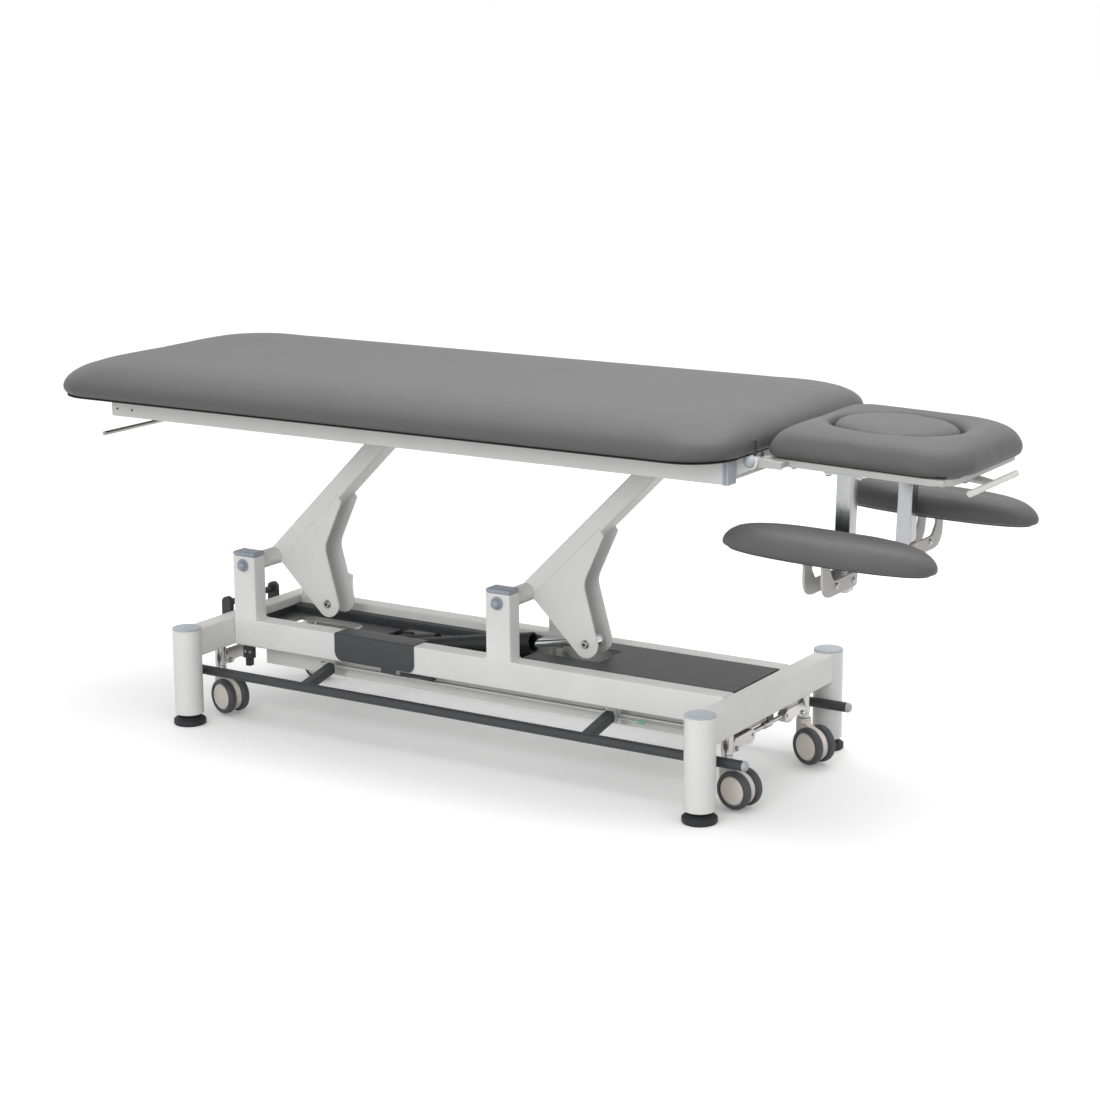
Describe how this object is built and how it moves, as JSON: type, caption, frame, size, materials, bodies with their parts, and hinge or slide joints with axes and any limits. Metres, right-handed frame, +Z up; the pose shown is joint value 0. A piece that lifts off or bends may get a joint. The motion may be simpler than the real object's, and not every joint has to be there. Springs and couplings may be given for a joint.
{
  "type": "height adjustable treatment table",
  "caption": "Motor-lifted treatment table: parallel-arm base on castors and levelling feet, long pad, tilting head section with a face opening and hanging armrests.",
  "frame": {"origin": "on the floor, under the middle of the table's outline", "axes": "+X from the foot end to the head end, +Y towards the patient's left, +Z up"},
  "size_m": [1.9846, 0.7, 0.75],
  "materials": {
    "actuator_body": "dark grey moulded housing",
    "actuator_crossmember": "powder coat, pale grey",
    "actuator_rod": "ground and polished",
    "arm_beam_foot": "powder coat, pale grey",
    "arm_beam_head": "powder coat, pale grey",
    "armrest_bracket_left": "powder coat, pale grey",
    "armrest_bracket_right": "powder coat, pale grey",
    "armrest_pad_left": "mid grey grained leatherette",
    "armrest_pad_right": "mid grey grained leatherette",
    "base_rail_left": "powder coat, pale grey",
    "base_rail_right": "powder coat, pale grey",
    "bed_foot_beam": "powder coat, pale grey",
    "bed_rail_left": "powder coat, pale grey",
    "bed_rail_right": "powder coat, pale grey",
    "castor_carrier_foot": "zinc plated",
    "castor_carrier_head": "zinc plated",
    "castor_hood_foot_left": "beige plastic",
    "castor_hood_foot_right": "beige plastic",
    "castor_hood_head_left": "beige plastic",
    "castor_hood_head_right": "beige plastic",
    "castor_pedal": "black glass-filled plastic",
    "castor_wheels_foot_left": "grey rubber tread",
    "castor_wheels_foot_right": "grey rubber tread",
    "castor_wheels_head_left": "grey rubber tread",
    "castor_wheels_head_right": "grey rubber tread",
    "face_plug": "mid grey grained leatherette",
    "foot_crossbeam": "powder coat, pale grey",
    "foot_tray": "textured dark grey powder coat",
    "gas_spring_body": "black glass-filled plastic",
    "gas_spring_rod": "ground and polished",
    "head_beam": "powder coat, pale grey",
    "head_cover": "textured dark grey powder coat",
    "head_crossbeam": "powder coat, pale grey",
    "head_frame": "powder coat, pale grey",
    "head_pad": "mid grey grained leatherette",
    "leg_cap_foot_left": "moulded blue-grey plastic",
    "leg_cap_foot_right": "moulded blue-grey plastic",
    "leg_cap_head_left": "moulded blue-grey plastic",
    "leg_cap_head_right": "moulded blue-grey plastic",
    "levelling_foot_foot_left": "black rubber",
    "levelling_foot_foot_right": "black rubber",
    "levelling_foot_head_left": "black rubber",
    "levelling_foot_head_right": "black rubber",
    "lift_arm_foot": "powder coat, pale grey",
    "lift_arm_head": "powder coat, pale grey",
    "lower_pan": "powder coat, pale grey",
    "main_pad": "mid grey grained leatherette",
    "pivot_shaft_foot": "moulded blue-grey plastic",
    "pivot_shaft_head": "moulded blue-grey plastic",
    "post_cap_foot_left": "moulded blue-grey plastic",
    "post_cap_foot_right": "moulded blue-grey plastic",
    "post_cap_head_left": "moulded blue-grey plastic",
    "post_cap_head_right": "moulded blue-grey plastic",
    "release_lever": "powder coat, pale grey",
    "roll_bar": "powder coat, pale grey",
    "switch_bar_left": "textured dark grey powder coat",
    "switch_bar_right": "textured dark grey powder coat",
    "switch_shaft_left": "zinc plated",
    "switch_shaft_right": "zinc plated"
  },
  "bodies": {
    "base": {"foot_crossbeam": "foot_crossbeam", "head_crossbeam": "head_crossbeam", "base_rail_right": "base_rail_right", "base_rail_left": "base_rail_left", "head_cover": "head_cover", "foot_tray": "foot_tray", "lower_pan": "lower_pan", "pivot_shaft_foot": "pivot_shaft_foot", "pivot_shaft_head": "pivot_shaft_head", "actuator_crossmember": "actuator_crossmember", "switch_shaft_right": "switch_shaft_right", "switch_shaft_left": "switch_shaft_left", "leg_cap_foot_right": "leg_cap_foot_right", "leg_cap_foot_left": "leg_cap_foot_left", "leg_cap_head_right": "leg_cap_head_right", "leg_cap_head_left": "leg_cap_head_left", "post_cap_foot_right": "post_cap_foot_right", "post_cap_foot_left": "post_cap_foot_left", "post_cap_head_right": "post_cap_head_right", "post_cap_head_left": "post_cap_head_left"},
    "levelling_foot_foot_right": {"levelling_foot_foot_right": "levelling_foot_foot_right"},
    "levelling_foot_foot_left": {"levelling_foot_foot_left": "levelling_foot_foot_left"},
    "levelling_foot_head_right": {"levelling_foot_head_right": "levelling_foot_head_right"},
    "levelling_foot_head_left": {"levelling_foot_head_left": "levelling_foot_head_left"},
    "foot_arm": {"lift_arm_foot": "lift_arm_foot"},
    "head_arm": {"lift_arm_head": "lift_arm_head"},
    "actuator": {"actuator_body": "actuator_body"},
    "push_rod": {"actuator_rod": "actuator_rod"},
    "bed": {"bed_rail_right": "bed_rail_right", "bed_rail_left": "bed_rail_left", "bed_foot_beam": "bed_foot_beam", "arm_beam_foot": "arm_beam_foot", "arm_beam_head": "arm_beam_head", "head_beam": "head_beam", "roll_bar": "roll_bar", "main_pad": "main_pad"},
    "head_section": {"head_frame": "head_frame", "head_pad": "head_pad"},
    "plug": {"face_plug": "face_plug"},
    "armrest_right": {"armrest_bracket_right": "armrest_bracket_right", "armrest_pad_right": "armrest_pad_right"},
    "armrest_left": {"armrest_bracket_left": "armrest_bracket_left", "armrest_pad_left": "armrest_pad_left"},
    "lever": {"release_lever": "release_lever"},
    "gas_cylinder": {"gas_spring_body": "gas_spring_body"},
    "gas_piston": {"gas_spring_rod": "gas_spring_rod"},
    "castor_lifter_foot": {"castor_carrier_foot": "castor_carrier_foot"},
    "castor_lifter_head": {"castor_carrier_head": "castor_carrier_head"},
    "castor_foot_right": {"castor_hood_foot_right": "castor_hood_foot_right"},
    "wheels_foot_right": {"castor_wheels_foot_right": "castor_wheels_foot_right"},
    "castor_foot_left": {"castor_hood_foot_left": "castor_hood_foot_left"},
    "wheels_foot_left": {"castor_wheels_foot_left": "castor_wheels_foot_left"},
    "castor_head_right": {"castor_hood_head_right": "castor_hood_head_right"},
    "wheels_head_right": {"castor_wheels_head_right": "castor_wheels_head_right"},
    "castor_head_left": {"castor_hood_head_left": "castor_hood_head_left"},
    "wheels_head_left": {"castor_wheels_head_left": "castor_wheels_head_left"},
    "pedal": {"castor_pedal": "castor_pedal"},
    "switch_right": {"switch_bar_right": "switch_bar_right"},
    "switch_left": {"switch_bar_left": "switch_bar_left"}
  },
  "joints": [
    {"name": "lift", "type": "hinge", "parent": "base", "child": "foot_arm", "pos_m": [-0.64126, 0, 0.321], "axis": [0, -1, 0], "range_deg": [-35, 28]},
    {"name": "head_arm_lift", "type": "hinge", "parent": "base", "child": "head_arm", "pos_m": [0.00074, 0, 0.321], "axis": [0, -1, 0], "range_deg": [-35, 28]},
    {"name": "bed_level", "type": "hinge", "parent": "foot_arm", "child": "bed", "pos_m": [-0.30969, 0, 0.64559], "axis": [0, -1, 0], "range_deg": [-28, 35]},
    {"name": "actuator_swing", "type": "hinge", "parent": "base", "child": "actuator", "pos_m": [-0.41026, 0, 0.135], "axis": [0, -1, 0], "range_deg": [-8, 7]},
    {"name": "push_rod_swing", "type": "hinge", "parent": "head_arm", "child": "push_rod", "pos_m": [0.13949, 0, 0.23129], "axis": [0, -1, 0], "range_deg": [-23, 28.5]},
    {"name": "head_tilt", "type": "hinge", "parent": "bed", "child": "head_section", "pos_m": [0.59774, 0, 0.676], "axis": [0, -1, 0], "range_deg": [-30, 20]},
    {"name": "gas_cylinder_swing", "type": "hinge", "parent": "bed", "child": "gas_cylinder", "pos_m": [0.40474, 0.157, 0.622], "axis": [0, -1, 0], "range_deg": [-11, 8]},
    {"name": "gas_piston_swing", "type": "hinge", "parent": "head_section", "child": "gas_piston", "pos_m": [0.70186, 0.157, 0.64308], "axis": [0, -1, 0], "range_deg": [-15, 22]},
    {"name": "face_plug_lift", "type": "slide", "parent": "head_section", "child": "plug", "axis": [0.0279, 0, 0.9996], "range_m": [0, 0.08]},
    {"name": "armrest_right_swing", "type": "hinge", "parent": "head_section", "child": "armrest_right", "pos_m": [0.7524, -0.135, 0.4646], "axis": [0.9996, 0, -0.0279], "range_deg": [-12, 40]},
    {"name": "armrest_left_swing", "type": "hinge", "parent": "head_section", "child": "armrest_left", "pos_m": [0.7524, 0.135, 0.4646], "axis": [-0.9996, 0, 0.0279], "range_deg": [-12, 40]},
    {"name": "release_pull", "type": "hinge", "parent": "head_section", "child": "lever", "pos_m": [0.93302, 0, 0.64563], "axis": [0, -1, 0], "range_deg": [0, 12], "stiffness_Nm_per_rad": 2, "springref_deg": -5.73},
    {"name": "pedal_press", "type": "hinge", "parent": "base", "child": "pedal", "pos_m": [-0.73526, 0, 0.172], "axis": [0, -1, 0], "range_deg": [0, 20]},
    {"name": "castor_lower_foot", "type": "slide", "parent": "base", "child": "castor_lifter_foot", "axis": [0, 0, 1], "range_m": [-0.012, 0]},
    {"name": "castor_lower_head", "type": "slide", "parent": "base", "child": "castor_lifter_head", "axis": [0, 0, 1], "range_m": [-0.012, 0]},
    {"name": "castor_swivel_foot_right", "type": "hinge", "parent": "castor_lifter_foot", "child": "castor_foot_right", "pos_m": [-0.69226, -0.16, 0.0915], "axis": [0, 0, 1], "continuous": true},
    {"name": "wheel_spin_foot_right", "type": "hinge", "parent": "castor_foot_right", "child": "wheels_foot_right", "pos_m": [-0.66328, -0.16776, 0.0415], "axis": [0.2588, 0.9659, 0], "continuous": true},
    {"name": "foot_screw_foot_right", "type": "slide", "parent": "base", "child": "levelling_foot_foot_right", "axis": [0, 0, 1], "range_m": [-0.015, 0.0035]},
    {"name": "castor_swivel_foot_left", "type": "hinge", "parent": "castor_lifter_foot", "child": "castor_foot_left", "pos_m": [-0.69226, 0.16, 0.0915], "axis": [0, 0, 1], "continuous": true},
    {"name": "wheel_spin_foot_left", "type": "hinge", "parent": "castor_foot_left", "child": "wheels_foot_left", "pos_m": [-0.66444, 0.14876, 0.0415], "axis": [0.3746, 0.9272, 0], "continuous": true},
    {"name": "foot_screw_foot_left", "type": "slide", "parent": "base", "child": "levelling_foot_foot_left", "axis": [0, 0, 1], "range_m": [-0.015, 0.0035]},
    {"name": "castor_swivel_head_right", "type": "hinge", "parent": "castor_lifter_head", "child": "castor_head_right", "pos_m": [0.53174, -0.16, 0.0915], "axis": [0, 0, 1], "continuous": true},
    {"name": "wheel_spin_head_right", "type": "hinge", "parent": "castor_head_right", "child": "wheels_head_right", "pos_m": [0.56128, -0.16521, 0.0415], "axis": [0.1736, 0.9848, 0], "continuous": true},
    {"name": "foot_screw_head_right", "type": "slide", "parent": "base", "child": "levelling_foot_head_right", "axis": [0, 0, 1], "range_m": [-0.015, 0.0035]},
    {"name": "castor_swivel_head_left", "type": "hinge", "parent": "castor_lifter_head", "child": "castor_head_left", "pos_m": [0.53174, 0.16, 0.0915], "axis": [0, 0, 1], "continuous": true},
    {"name": "wheel_spin_head_left", "type": "hinge", "parent": "castor_head_left", "child": "wheels_head_left", "pos_m": [0.56011, 0.15023, 0.0415], "axis": [0.3256, 0.9455, 0], "continuous": true},
    {"name": "foot_screw_head_left", "type": "slide", "parent": "base", "child": "levelling_foot_head_left", "axis": [0, 0, 1], "range_m": [-0.015, 0.0035]},
    {"name": "switch_press_right", "type": "hinge", "parent": "base", "child": "switch_right", "pos_m": [-0.08026, -0.118, 0.129], "axis": [-1, 0, 0], "range_deg": [-6, 6], "stiffness_Nm_per_rad": 60, "springref_deg": 1.72},
    {"name": "switch_press_left", "type": "hinge", "parent": "base", "child": "switch_left", "pos_m": [-0.08026, 0.118, 0.129], "axis": [1, 0, 0], "range_deg": [-6, 6], "stiffness_Nm_per_rad": 60, "springref_deg": 1.72}
  ],
  "couplings": [
    {"joint": "head_arm_lift", "follows": "lift", "ratio": 1},
    {"joint": "bed_level", "follows": "lift", "ratio": -1},
    {"joint": "actuator_swing", "follows": "lift", "ratio": 0.206},
    {"joint": "push_rod_swing", "follows": "lift", "ratio": -0.794},
    {"joint": "gas_cylinder_swing", "follows": "head_tilt", "ratio": 0.335},
    {"joint": "gas_piston_swing", "follows": "head_tilt", "ratio": -0.665},
    {"joint": "castor_lower_foot", "follows": "pedal_press", "m_per_rad": -0.034},
    {"joint": "castor_lower_head", "follows": "pedal_press", "m_per_rad": -0.034}
  ]
}
